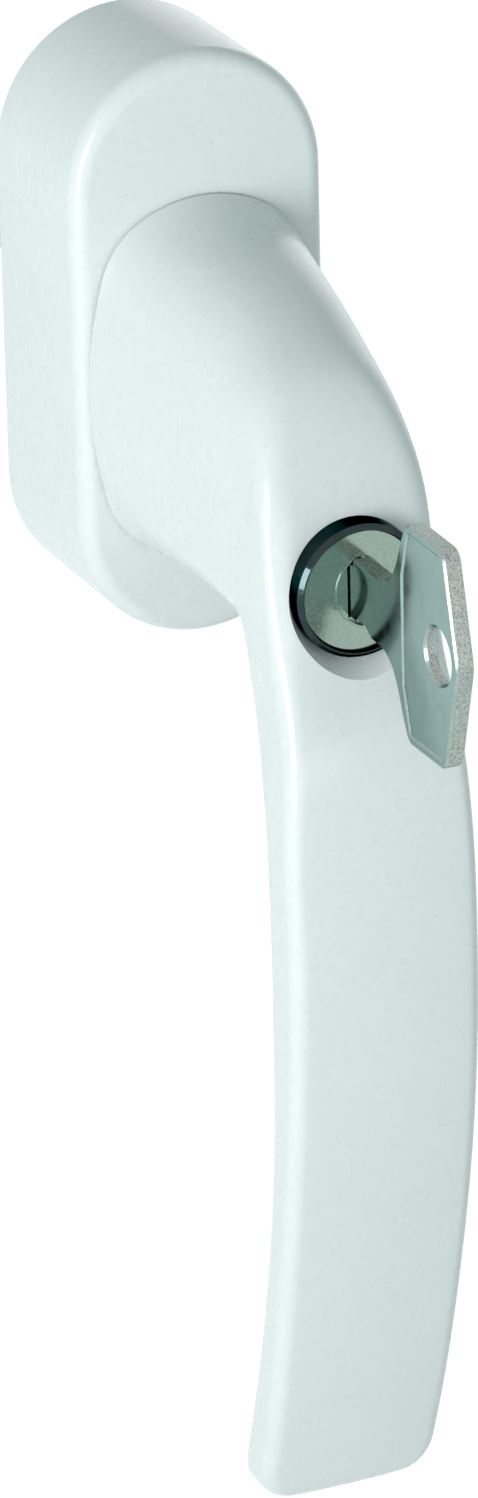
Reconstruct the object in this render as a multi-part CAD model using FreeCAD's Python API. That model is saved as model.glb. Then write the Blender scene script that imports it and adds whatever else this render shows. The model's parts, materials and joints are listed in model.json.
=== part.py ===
import FreeCAD, Part
import math
import os
from FreeCAD import Vector

# Locking window handle, in millimetres.
# X runs to the right as the handle is faced, Z runs up and the room side is -Y.
# The origin is on the spindle axis, in the plane where the rose meets the window.
# "out" is a distance from the window into the room, so y = -out.

os.makedirs("parts", exist_ok=True)

# Rose and fixing
rose_width = 30.0
rose_height = 67.6
rose_depth = 21.0
rose_edge = 2.0
rose_wall = 1.8
rose_front_wall = 2.0
base_clearance = 0.2
screw_spacing = 43.0
cam_diameter = 10.0
cam_length = 3.0
screw_diameter = 5.0
screw_length = 35.0
screw_head_diameter = 8.4
screw_head_height = 2.3
screw_head_gap = 0.2
screw_hole_clearance = 0.15
screw_slot_width = 1.2
keeper_thickness = 2.5

# Spindle, hub and bearing
spindle_width = 7.0
spindle_reach = 30.0
spindle_depth = 11.6
spindle_clearance = 0.05
hub_radius = 9.0
hub_clearance = 0.05
hub_step_radius = 7.4
hub_step_out = 8.8
hub_overlap = 1.0
hub_end_out = 1.2
bush_wall = 1.6
bush_gap = 0.4
roll_pin_radius = 1.5
roll_pin_setback = 0.5
roll_pin_end_gap = 0.5
roll_pin_bore = 0.6
glide_ring_thickness = 0.3
glide_ring_width = 2.3
neck_gap = 0.4
cover_hole_clearance = 0.4

# Indexing every quarter turn
index_ring_radius = 10.8
index_ring_thickness = 3.6
index_chamber_clearance = 0.6
index_notch_depth = 0.8
index_positions = 4
ball_radius = 1.75
ball_clearance = 0.1
detent_spring_length = 3.0
detent_spring_wall = 0.5
washer_thickness = 1.2
washer_radius = 10.2
circlip_thickness = 1.1
circlip_width = 2.0
circlip_groove_depth = 0.7
circlip_gap_angle = 70.0
axial_clearance = 0.1

# Neck and grip
neck_top = 17.6
neck_bottom = -24.0
neck_half_width = 13.9
grip_half_width = 11.35
grip_widest = 0.35
grip_narrowing = 1.6
handle_length = 125.9
grip_front_edge = 1.9
grip_back_edge = 3.6
grip_start = 41.0
grip_end_corner = 4.8
grip_end_edge = 2.0
grip_end_slope = 0.35

# Lock
lock_drop = 14.65
lock_ring_radius = 7.55
lock_ring_wall = 0.65
lock_ring_height = 5.2
lock_ring_chamfer = 0.5
lock_reach = 39.95
lock_hollow_depth = 2.35
lock_hollow_flare = 0.65
plug_disc_radius = 6.85
plug_disc_thickness = 1.2
plug_disc_recess = 0.65
housing_radius = 6.0
housing_setback = 7.0
housing_end_wall = 0.4
housing_front_gap = 0.2
housing_fit = 0.05
plug_radius = 4.5
plug_clearance = 0.05
plug_clearance_behind = 1.0
plug_clip_setback = 1.6
plug_clip_thickness = 0.8
plug_clip_depth = 0.45
plug_clip_gap_angle = 60.0
plug_clip_play = 0.1
keyhole_lens_radius = 4.3
keyhole_lens_half_width = 2.8
keyhole_lens_depth = 0.7
keyway_clearance = 0.15
keyway_end_setback = 2.4
wafer_count = 5
wafer_front_gap = 0.6
wafer_clip_gap = 2.8
wafer_web = 1.2
wafer_width = 4.8
wafer_clearance = 0.1
wafer_spring_share = 0.3
wafer_spring_length = 1.8
wafer_spring_gap = 0.2
wafer_ear_height = 1.0
tang_width = 3.0
tang_thickness = 1.6
tang_engagement = 1.9
tang_clearance = 0.12
bolt_radius = 2.25
bolt_nose_chamfer = 0.5
bolt_clearance = 0.1
bolt_head_length = 4.5
bolt_stop_clearance = 0.2
bolt_engagement = 1.6
bolt_setback = 0.5
bolt_end_clearance = 1.5
bolt_turn = 90.0
cross_pin_radius = 1.0
cross_pin_inset = 0.6
cross_pin_end_gap = 0.1
cross_pin_clearance = 0.12
grub_radius = 1.5
grub_length = 2.2
grub_setback = 11.6
grub_socket = 1.3

# Key
key_thickness = 2.1
key_blade_height = 6.0
key_tip_clearance = 0.5
key_shoulder_gap = 0.3
key_neck_height = 7.8
key_neck_end = 7.05
key_lower_shoulder = 2.5
key_lower_neck = 4.0
key_bow_start = 11.55
key_bow_chamfer = 1.3
key_bow_height = 25.0
key_bow_end_height = 24.8
key_bow_corner = 21.85
key_length_outside = 25.05
key_ring_hole = 19.9
key_ring_hole_radius = 3.1
key_cut_depths = (0.8, 1.4, 0.5, 1.1, 0.7)
key_cut_spread = 0.4

neck_base_out = rose_depth + neck_gap
base_depth = rose_depth - rose_front_wall - screw_head_gap - screw_head_height - keeper_thickness
lock_axis_up = -lock_drop
screw_up = screw_spacing / 2
inner_width = rose_width - 2 * rose_wall
inner_height = rose_height - 2 * rose_wall
base_width = inner_width - 2 * base_clearance
base_height = inner_height - 2 * base_clearance
keeper_front_out = base_depth + keeper_thickness
index_ring_front_out = hub_step_out - axial_clearance
index_ring_back_out = index_ring_front_out - index_ring_thickness
washer_back_out = index_ring_back_out - washer_thickness
circlip_back_out = washer_back_out - circlip_thickness
index_chamber_radius = index_ring_radius + index_chamber_clearance
bush_outer_radius = hub_radius + hub_clearance + bush_wall
ball_up = index_ring_radius + ball_clearance + ball_radius
ball_out = (index_ring_front_out + index_ring_back_out) / 2
bolt_nose_out = neck_base_out + bolt_setback
bolt_travel = bolt_nose_out - keeper_front_out + bolt_engagement
bush_start_out = hub_step_out + bush_gap
spindle_end_out = neck_base_out + spindle_depth
roll_pin_out = base_depth + roll_pin_setback
lock_face_out = neck_base_out + lock_reach
disc_front_out = lock_face_out - plug_disc_recess
disc_back_out = disc_front_out - plug_disc_thickness
housing_end_out = neck_base_out + housing_setback
bolt_head_out = housing_end_out + housing_end_wall + bolt_stop_clearance + bolt_travel
bolt_head_front_out = bolt_head_out + bolt_head_length
cross_pin_out = bolt_head_out + bolt_head_length / 2
plug_end_out = bolt_head_front_out + plug_clearance_behind
plug_clip_out = plug_end_out + plug_clip_setback
keyway_end_out = plug_end_out + keyway_end_setback
key_tip_out = keyway_end_out + key_tip_clearance
tang_end_out = bolt_head_front_out - bolt_travel - tang_engagement
wafer_last_out = plug_clip_out + plug_clip_thickness + wafer_clip_gap
wafer_room = disc_back_out - wafer_front_gap - wafer_last_out
wafer_thickness = (wafer_room - (wafer_count - 1) * wafer_web) / wafer_count
wafer_pitch = wafer_thickness + wafer_web
wafer_first_out = disc_back_out - wafer_front_gap - wafer_thickness
wafer_spring_radius = wafer_spring_share * wafer_thickness
grub_out = housing_end_out + grub_setback


def at(x, out, up):
    return Vector(x, -out, up)


OUTWARD = Vector(0, -1, 0)
UPWARD = Vector(0, 0, 1)
SIDEWAYS = Vector(1, 0, 0)


def rod(radius, out_from, out_to, up=0.0, x=0.0):
    """A solid cylinder along the outward direction."""
    return Part.makeCylinder(radius, out_to - out_from, at(x, out_from, up), OUTWARD)


def tube(inner, outer, out_from, out_to, up=0.0):
    return rod(outer, out_from, out_to, up).cut(rod(inner, out_from, out_to, up))


def block(width, out_from, out_to, up_from, up_to, x=0.0):
    corner = at(x - width / 2, out_to, up_from)
    return Part.makeBox(width, out_to - out_from, up_to - up_from, corner)


def stadium(width, height, out_from, out_to):
    """An upright bar with half-round ends, from one outward distance to another."""
    radius = width / 2
    straight = height / 2 - radius
    corners = [at(radius, out_from, -straight), at(radius, out_from, straight),
               at(-radius, out_from, straight), at(-radius, out_from, -straight)]
    top = at(0, out_from, height / 2)
    bottom = at(0, out_from, -height / 2)
    edges = [Part.LineSegment(corners[0], corners[1]).toShape(),
             Part.Arc(corners[1], top, corners[2]).toShape(),
             Part.LineSegment(corners[2], corners[3]).toShape(),
             Part.Arc(corners[3], bottom, corners[0]).toShape()]
    face = Part.Face(Part.Wire(edges))
    return face.extrude(OUTWARD * (out_to - out_from))


def edges_in_plane(shape, out, tolerance=0.01):
    """The edges that lie wholly at one outward distance."""
    found = []
    for edge in shape.Edges:
        box = edge.BoundBox
        if abs(box.YMin + out) < tolerance and abs(box.YMax + out) < tolerance:
            found.append(edge)
    return found


def save(name, shape):
    shape.exportStep("parts/" + name + ".step")


def make_rose_cover():
    shell = stadium(rose_width, rose_height, 0, rose_depth)
    shell = shell.makeFillet(rose_edge, edges_in_plane(shell, rose_depth))
    hollow = stadium(inner_width, inner_height, 0, rose_depth - rose_front_wall)
    cover = shell.cut(hollow)
    cover = cover.cut(rod(hub_radius + cover_hole_clearance, 0, rose_depth))
    for side in (1, -1):
        cover = cover.cut(rod(bolt_radius + cover_hole_clearance, 0, rose_depth, side * lock_drop))
    return cover


def make_base_body():
    body = stadium(base_width, base_height, 0, base_depth)
    for side in (1, -1):
        body = body.fuse(rod(cam_diameter / 2, -cam_length, 0, side * screw_up))
    for side in (1, -1):
        hole_radius = screw_diameter / 2 + screw_hole_clearance
        body = body.cut(rod(hole_radius, -cam_length, base_depth, side * screw_up))
        pocket_end = ball_up + ball_radius + detent_spring_length
        pocket = Part.makeCylinder(ball_radius + ball_clearance, pocket_end,
                                   at(0, ball_out, 0), UPWARD * side)
        body = body.cut(pocket)
        body = body.cut(rod(bolt_radius + cover_hole_clearance,
                            bolt_nose_out - bolt_travel - bolt_end_clearance, base_depth,
                            side * lock_drop))
    body = body.cut(rod(index_chamber_radius, 0, bush_start_out))
    body = body.cut(rod(bush_outer_radius, 0, base_depth))
    return body.removeSplitter()


def make_keeper_plate():
    plate = stadium(base_width, base_height, base_depth, keeper_front_out)
    plate = plate.cut(rod(hub_radius + cover_hole_clearance, base_depth, keeper_front_out))
    for side in (1, -1):
        plate = plate.cut(rod(bolt_radius + cover_hole_clearance, base_depth,
                              keeper_front_out, side * lock_drop))
        plate = plate.cut(rod(screw_diameter / 2 + screw_hole_clearance, base_depth,
                              keeper_front_out, side * screw_up))
    return plate


def make_fixing_screw(up):
    tip = keeper_front_out - screw_length
    head_top = keeper_front_out + screw_head_height
    shank = rod(screw_diameter / 2, tip, keeper_front_out, up)
    shank = shank.makeChamfer(screw_diameter / 8, edges_in_plane(shank, tip))
    head = rod(screw_head_diameter / 2, keeper_front_out, head_top, up)
    head = head.makeFillet(screw_head_height / 4, edges_in_plane(head, head_top))
    slot = block(screw_head_diameter, head_top - screw_head_height / 2, head_top,
                 up - screw_slot_width / 2, up + screw_slot_width / 2)
    return shank.fuse(head).cut(slot)


def make_bearing_bush():
    bore = hub_radius + hub_clearance
    return tube(bore, bush_outer_radius, bush_start_out, base_depth)


def make_glide_ring():
    bore = hub_radius + cover_hole_clearance
    return tube(bore, bore + glide_ring_width, rose_depth, rose_depth + glide_ring_thickness)


def make_detent_ball(side):
    return Part.makeSphere(ball_radius, at(0, ball_out, side * ball_up))


def make_detent_spring(side):
    start = ball_up + ball_radius
    outer = Part.makeCylinder(ball_radius, detent_spring_length,
                              at(0, ball_out, side * start), UPWARD * side)
    inner = Part.makeCylinder(ball_radius - detent_spring_wall, detent_spring_length,
                              at(0, ball_out, side * start), UPWARD * side)
    return outer.cut(inner)


def make_index_ring():
    ring = tube(hub_step_radius, index_ring_radius, index_ring_back_out, index_ring_front_out)
    notch_centre = index_ring_radius + ball_radius - index_notch_depth + ball_clearance
    for step in range(index_positions):
        angle = 2 * math.pi * step / index_positions
        notch = rod(ball_radius + ball_clearance, index_ring_back_out, index_ring_front_out,
                    notch_centre * math.cos(angle), notch_centre * math.sin(angle))
        ring = ring.cut(notch)
    return ring


def make_spacer_washer():
    return tube(hub_step_radius + hub_clearance, washer_radius, washer_back_out,
                index_ring_back_out)


def wedge(radius, out_from, out_to, half_angle, up=0.0):
    """A wedge opening upward, used to break a ring."""
    reach = 2 * radius
    left = at(-reach * math.tan(half_angle), out_from, up + reach)
    right = at(reach * math.tan(half_angle), out_from, up + reach)
    outline = Part.makePolygon([at(0, out_from, up), left, right, at(0, out_from, up)])
    return Part.Face(outline).extrude(OUTWARD * (out_to - out_from))


def make_circlip():
    inner = hub_step_radius - circlip_groove_depth
    ring = tube(inner, inner + circlip_width, circlip_back_out, washer_back_out)
    gap = wedge(inner + circlip_width, circlip_back_out, washer_back_out,
                math.radians(circlip_gap_angle / 2))
    return ring.cut(gap)


def make_square_spindle():
    half = spindle_width / 2
    bar = block(spindle_width, -spindle_reach, spindle_end_out, -half, half)
    pin_hole = Part.makeCylinder(roll_pin_radius, spindle_width, at(-half, roll_pin_out, 0),
                                 SIDEWAYS)
    return bar.cut(pin_hole)


def make_roll_pin():
    length = 2 * (hub_radius - roll_pin_end_gap)
    start = at(-length / 2, roll_pin_out, 0)
    pin = Part.makeCylinder(roll_pin_radius, length, start, SIDEWAYS)
    return pin.cut(Part.makeCylinder(roll_pin_bore, length, start, SIDEWAYS))


def meeting_point(centre_a, radius_a, centre_b, radius_b):
    """Where two circles cross, taking the crossing furthest to the right and outward."""
    dx = centre_b[0] - centre_a[0]
    dy = centre_b[1] - centre_a[1]
    apart = math.hypot(dx, dy)
    along = (radius_a ** 2 - radius_b ** 2 + apart ** 2) / (2 * apart)
    height = math.sqrt(radius_a ** 2 - along ** 2)
    base = (centre_a[0] + along * dx / apart, centre_a[1] + along * dy / apart)
    options = [(base[0] + sign * height * dy / apart, base[1] - sign * height * dx / apart)
               for sign in (1, -1)]
    return max(options, key=lambda point: point[0] + point[1])


def step_towards(start, target, length):
    dx = target[0] - start[0]
    dy = target[1] - start[1]
    scale = length / math.hypot(dx, dy)
    return (start[0] + dx * scale, start[1] + dy * scale)


def corner_points(half_width, half_depth, crown, side_crown, edge):
    """The arc that rounds one corner: its ends on the crowned face and side, and its middle."""
    face_centre = (0.0, half_depth - crown)
    side_centre = (half_width - side_crown, 0.0)
    centre = meeting_point(face_centre, crown - edge, side_centre, side_crown - edge)
    on_face = step_towards(face_centre, centre, crown)
    on_side = step_towards(side_centre, centre, side_crown)
    middle = ((on_face[0] + on_side[0]) / 2, (on_face[1] + on_side[1]) / 2)
    return on_face, step_towards(centre, middle, edge), on_side


def cubic_points(start, middle, end):
    """The four control points of a plain cubic that follows an arc."""
    arc = Part.Arc(start, middle, end).toShape()
    handle = 4 / 3 * math.tan((arc.LastParameter - arc.FirstParameter) / 4) * arc.Curve.Radius
    return [start, start + arc.tangentAt(arc.FirstParameter) * handle,
            end - arc.tangentAt(arc.LastParameter) * handle, end]


def section_arcs(front, back, half_width, front_crown, back_crown, side_crown,
                 front_edge, back_edge):
    """A closed outline of eight tangent arcs between a front point and a back point."""
    half_depth = math.hypot(front[0] - back[0], front[1] - back[1]) / 2
    centre = ((front[0] + back[0]) / 2, (front[1] + back[1]) / 2)
    lean = ((front[0] - centre[0]) / half_depth, (front[1] - centre[1]) / half_depth)

    def place(u, v):
        return at(u, neck_base_out + centre[0] + v * lean[0], centre[1] + v * lean[1])

    face, face_mid, side = corner_points(half_width, half_depth, front_crown, side_crown,
                                         front_edge)
    rear, rear_mid, rear_side = corner_points(half_width, half_depth, back_crown, side_crown,
                                              back_edge)
    bulge_v = (side[1] - rear_side[1]) / 2
    bulge_u = half_width - side_crown + math.sqrt(side_crown ** 2 - bulge_v ** 2)
    arcs = [(place(rear_side[0], -rear_side[1]), place(bulge_u, bulge_v), place(*side)),
            (place(*side), place(*face_mid), place(*face)),
            (place(*face), place(0, half_depth), place(-face[0], face[1])),
            (place(-face[0], face[1]), place(-face_mid[0], face_mid[1]), place(-side[0], side[1])),
            (place(-side[0], side[1]), place(-bulge_u, bulge_v), place(-rear_side[0], -rear_side[1])),
            (place(-rear_side[0], -rear_side[1]), place(-rear_mid[0], -rear_mid[1]),
             place(-rear[0], -rear[1])),
            (place(-rear[0], -rear[1]), place(0, -half_depth), place(rear[0], -rear[1])),
            (place(rear[0], -rear[1]), place(rear_mid[0], -rear_mid[1]),
             place(rear_side[0], -rear_side[1]))]
    return [cubic_points(*arc) for arc in arcs]


def grip_station(share, front_out, back_out):
    """A station on the grip, at a share of the way from its start to its rounded end."""
    up = -grip_start - share * (handle_length - grip_end_corner - grip_start)
    half_width = grip_half_width - grip_narrowing * (share - grip_widest) ** 2
    return ((front_out, up), (back_out, up), half_width, 120, 70, 200,
            grip_front_edge, grip_back_edge)


# Stations down the handle, from the rose to where the grip's end begins to round off.
# Each has its front point and back point as (out from the neck's base, up), then the half width,
# the crown radii of front, back and sides, and the edge radii of front and back.
neck_stations = [
    ((0.0, neck_top), (0.0, neck_bottom), neck_half_width, 15, 15, 45, 10, 10),
    ((9.1, 15.3), (9.0, -23.5), 12.6, 15, 15, 45, 10, 10),
    ((18.1, 12.75), (16.8, -23.5), 11.5, 15, 15, 45, 9.5, 9.5),
    ((26.1, 9.25), (23.1, -23.9), 10.7, 16, 14, 50, 8.5, 9),
    ((30.75, 6.2), (26.3, -25.1), 10.2, 22, 14, 60, 6.5, 9),
    ((33.3, 2.8), (28.0, -26.2), 10.1, 34, 14, 80, 5.2, 8.5),
    ((35.4, -1.5), (29.25, -27.5), 10.2, 60, 15, 100, 4.2, 8),
    ((37.6, -11.0), (30.5, -30.5), 10.15, 85, 20, 130, 3.4, 6.5),
    ((39.6, -21.0), (31.5, -33.7), 10.15, 100, 30, 150, 2.7, 5),
    ((43.25, -31.0), (32.75, -37.35), 10.6, 120, 45, 200, 2.2, 4.2),
]
grip_outs = [(44.45, 34.8), (45.15, 35.7), (44.95, 35.9), (44.0, 35.6), (42.25, 34.3),
             (39.8, 31.95), (36.85, 28.7), (33.15, 24.7)]
stations = neck_stations + [grip_station(index / (len(grip_outs) - 1), *outs)
                            for index, outs in enumerate(grip_outs)]
grip_end_half_width = stations[-1][2]


def end_sections(last):
    """The last section, moved down and drawn in, so that the grip's end is rounded all round."""
    centre_out = neck_base_out + (grip_outs[-1][0] + grip_outs[-1][1]) / 2
    half_depth = (grip_outs[-1][0] - grip_outs[-1][1]) / 2
    sections = []
    for degrees in (12, 30, 48, 64, 78, 90):
        turn = math.radians(degrees)
        drop = grip_end_corner * math.sin(turn)
        narrow = 1 - grip_end_corner * (1 - math.cos(turn)) / grip_end_half_width
        past_edge = max(drop - grip_end_corner + grip_end_edge, 0.0)
        thin = 1 - (grip_end_edge - math.sqrt(grip_end_edge ** 2 - past_edge ** 2)) / half_depth
        sections.append([[at(point.x * narrow,
                             centre_out + (-point.y - centre_out) * thin - drop * grip_end_slope,
                             point.z - drop) for point in arc] for arc in last])
    return sections


def section_places(sections):
    """How far along the handle each section lies, as a share of the whole."""
    places = [0.0]
    for before, after in zip(sections, sections[1:]):
        steps = [(after[arc][0] - before[arc][0]).Length for arc in range(len(before))]
        places.append(places[-1] + sum(steps) / len(steps))
    return [place / places[-1] for place in places]


def skin(rows, places):
    """A smooth face whose control points pass along rows of four, one row to a station."""
    curves = []
    for column in zip(*rows):
        curve = Part.BSplineCurve()
        curve.interpolate(Points=list(column), Parameters=places)
        curves.append(curve)
    surface = Part.BSplineSurface()
    surface.buildFromPolesMultsKnots([curve.getPoles() for curve in curves], [4, 4],
                                     curves[0].getMultiplicities(), [0.0, 1.0],
                                     curves[0].getKnots(), False, False, 3, 3)
    return surface.toShape()


def end_cap(section):
    edges = []
    for points in section:
        curve = Part.BezierCurve()
        curve.setPoles(points)
        edges.append(curve.toShape())
    return Part.Face(Part.Wire(edges))


def make_smooth_body():
    sections = [section_arcs(*station) for station in stations]
    sections += end_sections(sections[-1])
    places = section_places(sections)
    faces = [skin([section[index] for section in sections], places)
             for index in range(len(sections[0]))]
    faces += [end_cap(sections[0]), end_cap(sections[-1])]
    shell = Part.Shell(faces)
    shell.sewShape()
    return Part.Solid(shell)


def lock_seat():
    """The bore for the lock's ring, and the hollow round it that widens outwards."""
    radius = lock_ring_radius + housing_fit
    end_out = lock_face_out + lock_ring_radius
    bore = rod(radius, lock_face_out - lock_ring_height, end_out, lock_axis_up)
    hollow_out = lock_face_out - lock_hollow_depth
    hollow_length = end_out - hollow_out
    hollow = Part.makeCone(radius, radius + lock_hollow_flare * hollow_length, hollow_length,
                           at(0, hollow_out, lock_axis_up), OUTWARD)
    return bore.fuse(hollow)


def make_handle_body():
    body = make_smooth_body().fuse(rod(hub_radius, hub_step_out, neck_base_out + hub_overlap))
    body = body.fuse(rod(hub_step_radius, hub_end_out, hub_step_out))
    groove = hub_step_radius - circlip_groove_depth
    body = body.cut(tube(groove, hub_step_radius, circlip_back_out, washer_back_out))
    half = spindle_width / 2 + spindle_clearance
    body = body.cut(block(2 * half, 0, spindle_end_out, -half, half))
    pin_length = 2 * hub_radius
    body = body.cut(Part.makeCylinder(roll_pin_radius, pin_length,
                                      at(-hub_radius, roll_pin_out, 0), SIDEWAYS))
    body = body.cut(rod(housing_radius + housing_fit, housing_end_out, lock_face_out,
                        lock_axis_up))
    body = body.cut(lock_seat())
    body = body.cut(rod(bolt_radius + bolt_clearance, neck_base_out, housing_end_out,
                        lock_axis_up))
    grub_hole = Part.makeCylinder(grub_radius, 2 * housing_radius, at(0, grub_out, lock_axis_up),
                                  UPWARD * -1)
    return body.cut(grub_hole)


def make_lock_ring():
    back = lock_face_out - lock_ring_height
    inner = lock_ring_radius - lock_ring_wall
    ring = tube(inner, lock_ring_radius, back, lock_face_out, lock_axis_up)
    outer_rim = [edge for edge in edges_in_plane(ring, lock_face_out)
                 if edge.BoundBox.XLength > 2 * inner + lock_ring_wall]
    return ring.makeChamfer(lock_ring_chamfer, outer_rim)


def helix_cutter():
    """The track that the cross pin follows: a quarter turn while it moves along the axis."""
    steps = 18
    radius = cross_pin_radius + cross_pin_clearance
    cutter = None
    for step in range(steps + 1):
        share = step / steps
        angle = math.radians(180 - bolt_turn * share)
        direction = Vector(math.cos(angle), 0, math.sin(angle))
        centre = at(0, cross_pin_out - bolt_travel * share, lock_axis_up)
        piece = Part.makeCylinder(radius, 2 * housing_radius, centre, direction)
        cutter = piece if cutter is None else cutter.fuse(piece)
    return cutter


def make_lock_housing():
    front = disc_back_out - housing_front_gap
    barrel = tube(plug_radius + plug_clearance, housing_radius, housing_end_out, front,
                  lock_axis_up)
    end_wall = tube(bolt_radius + bolt_clearance, housing_radius, housing_end_out,
                    housing_end_out + housing_end_wall, lock_axis_up)
    barrel = barrel.fuse(end_wall)
    groove = rod(plug_radius + plug_clip_depth + plug_clearance, plug_clip_out - plug_clip_play,
                 plug_clip_out + plug_clip_thickness + plug_clip_play, lock_axis_up)
    return barrel.cut(groove).cut(helix_cutter())


def make_grub_screw():
    top = lock_axis_up - housing_radius
    screw = Part.makeCylinder(grub_radius, grub_length, at(0, grub_out, top), UPWARD * -1)
    socket = Part.makeCylinder(grub_socket / 2, grub_length / 2,
                               at(0, grub_out, top - grub_length), UPWARD)
    return screw.cut(socket)


def keyway(out_from, out_to):
    half = key_blade_height / 2 + keyway_clearance
    return block(key_thickness + 2 * keyway_clearance, out_from, out_to,
                 lock_axis_up - half, lock_axis_up + half)


def wafer_places():
    return [wafer_first_out - wafer_pitch * index for index in range(wafer_count)]


wafer_reach = math.sqrt(plug_radius ** 2 - (wafer_width / 2) ** 2)
wafer_spring_x = wafer_width / 2 + wafer_spring_radius + wafer_spring_gap


def make_wafer(out_back):
    plate = block(wafer_width, out_back, out_back + wafer_thickness,
                  lock_axis_up - wafer_reach, lock_axis_up + wafer_reach)
    ear_width = wafer_spring_x + wafer_spring_radius
    ear = block(ear_width, out_back, out_back + wafer_thickness, lock_axis_up,
                lock_axis_up + wafer_ear_height, ear_width / 2)
    return plate.fuse(ear).cut(keyway(out_back, out_back + wafer_thickness)).removeSplitter()


def make_wafer_spring(out_back):
    middle = out_back + wafer_thickness / 2
    start = at(wafer_spring_x, middle, lock_axis_up)
    outer = Part.makeCylinder(wafer_spring_radius, wafer_spring_length, start, UPWARD * -1)
    inner = Part.makeCylinder(wafer_spring_radius / 2, wafer_spring_length, start, UPWARD * -1)
    return outer.cut(inner)


def make_cylinder_plug():
    plug = rod(plug_radius, plug_end_out, disc_back_out, lock_axis_up)
    tang = block(tang_width, tang_end_out, plug_end_out, lock_axis_up - tang_thickness / 2,
                 lock_axis_up + tang_thickness / 2)
    plug = plug.fuse(tang).cut(keyway(keyway_end_out, disc_back_out))
    plug = plug.cut(tube(plug_radius - plug_clip_depth, plug_radius, plug_clip_out,
                         plug_clip_out + plug_clip_thickness, lock_axis_up))
    for out_back in wafer_places():
        slot_width = wafer_width + 2 * wafer_clearance
        slot = block(slot_width, out_back - wafer_clearance,
                     out_back + wafer_thickness + wafer_clearance,
                     lock_axis_up - plug_radius, lock_axis_up + plug_radius)
        ear_width = wafer_spring_x + wafer_spring_radius + wafer_clearance
        ear_slot = block(ear_width, out_back - wafer_clearance,
                         out_back + wafer_thickness + wafer_clearance,
                         lock_axis_up - wafer_spring_length,
                         lock_axis_up + wafer_ear_height + wafer_clearance, ear_width / 2)
        plug = plug.cut(slot).cut(ear_slot)
    return plug


def make_plug_disc():
    disc = rod(plug_disc_radius, disc_back_out, disc_front_out, lock_axis_up)
    offset = keyhole_lens_radius - keyhole_lens_half_width
    bottom = disc_front_out - keyhole_lens_depth
    left = rod(keyhole_lens_radius, bottom, disc_front_out, lock_axis_up, offset)
    right = rod(keyhole_lens_radius, bottom, disc_front_out, lock_axis_up, -offset)
    disc = disc.cut(left.common(right))
    return disc.cut(keyway(disc_back_out, disc_front_out))


def make_plug_clip():
    inner = plug_radius - plug_clip_depth
    outer = plug_radius + plug_clip_depth
    front = plug_clip_out + plug_clip_thickness
    ring = tube(inner, outer, plug_clip_out, front, lock_axis_up)
    gap = wedge(outer, plug_clip_out, front, math.radians(plug_clip_gap_angle / 2), lock_axis_up)
    return ring.cut(gap)


def make_lock_bolt():
    nose = rod(bolt_radius, bolt_nose_out, bolt_head_out, lock_axis_up)
    nose = nose.makeChamfer(bolt_nose_chamfer, edges_in_plane(nose, bolt_nose_out))
    bolt = nose.fuse(rod(plug_radius - plug_clearance, bolt_head_out, bolt_head_front_out,
                         lock_axis_up))
    half_width = tang_width / 2 + tang_clearance
    half_height = tang_thickness / 2 + tang_clearance
    bolt = bolt.cut(block(2 * half_width, tang_end_out - tang_clearance, bolt_head_front_out,
                          lock_axis_up - half_height, lock_axis_up + half_height))
    return bolt.cut(cross_pin_shape(plug_radius))


def cross_pin_shape(reach):
    start = tang_width / 2 + cross_pin_inset
    return Part.makeCylinder(cross_pin_radius, reach - start, at(-start, cross_pin_out, lock_axis_up),
                             SIDEWAYS * -1)


def make_cross_pin():
    return cross_pin_shape(housing_radius - cross_pin_end_gap)


def make_key():
    half = key_bow_height / 2
    end_half = key_bow_end_height / 2
    neck = key_neck_height / 2
    blade = key_blade_height / 2
    shoulder = key_shoulder_gap - plug_disc_recess
    tip = key_tip_out - lock_face_out
    bow = [(key_neck_end, neck), (8.95, 5.1), (10.25, 7.1), (key_bow_start, 10.1),
           (key_bow_start + key_bow_chamfer, half), (key_bow_corner, end_half)]
    outline = [(tip, 0.0), (tip + blade * 0.7, blade), (shoulder, blade), (shoulder, neck)] + bow
    outline += [(key_length_outside, 0.0)] + [(out, -up) for out, up in reversed(bow)]
    outline += [(key_lower_neck, -neck), (key_lower_shoulder, -blade), (tip + blade * 0.7, -blade)]
    points = [at(-key_thickness / 2, lock_face_out + out, lock_axis_up + up) for out, up in outline]
    face = Part.Face(Part.makePolygon(points + points[:1]))
    key = face.extrude(SIDEWAYS * key_thickness)
    hole_start = at(-key_thickness / 2, lock_face_out + key_ring_hole, lock_axis_up)
    hole = Part.makeCylinder(key_ring_hole_radius, key_thickness, hole_start, SIDEWAYS)
    key = key.cut(hole)
    for index, depth in enumerate(key_cut_depths):
        middle = wafer_places()[index] + wafer_thickness / 2
        tip = at(-key_thickness / 2, middle, lock_axis_up + blade - depth)
        reach = depth + key_cut_spread
        top = lock_axis_up + blade + key_cut_spread
        left = at(-key_thickness / 2, middle - reach, top)
        right = at(-key_thickness / 2, middle + reach, top)
        notch = Part.Face(Part.makePolygon([tip, left, right, tip]))
        key = key.cut(notch.extrude(SIDEWAYS * key_thickness))
    return key


save("rose_cover", make_rose_cover())
save("base_body", make_base_body())
save("keeper_plate", make_keeper_plate())
save("fixing_screws", Part.makeCompound([make_fixing_screw(screw_up), make_fixing_screw(-screw_up)]))
save("bearing_bush", make_bearing_bush())
save("glide_ring", make_glide_ring())
for name, side in (("upper", 1), ("lower", -1)):
    save("detent_ball_" + name, make_detent_ball(side))
    save("detent_spring_" + name, make_detent_spring(side))

save("handle_body", make_handle_body())
save("index_ring", make_index_ring())
save("spacer_washer", make_spacer_washer())
save("retaining_circlip", make_circlip())
save("square_spindle", make_square_spindle())
save("spindle_roll_pin", make_roll_pin())
save("lock_ring", make_lock_ring())
save("lock_housing", make_lock_housing())
save("housing_grub_screw", make_grub_screw())

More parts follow.
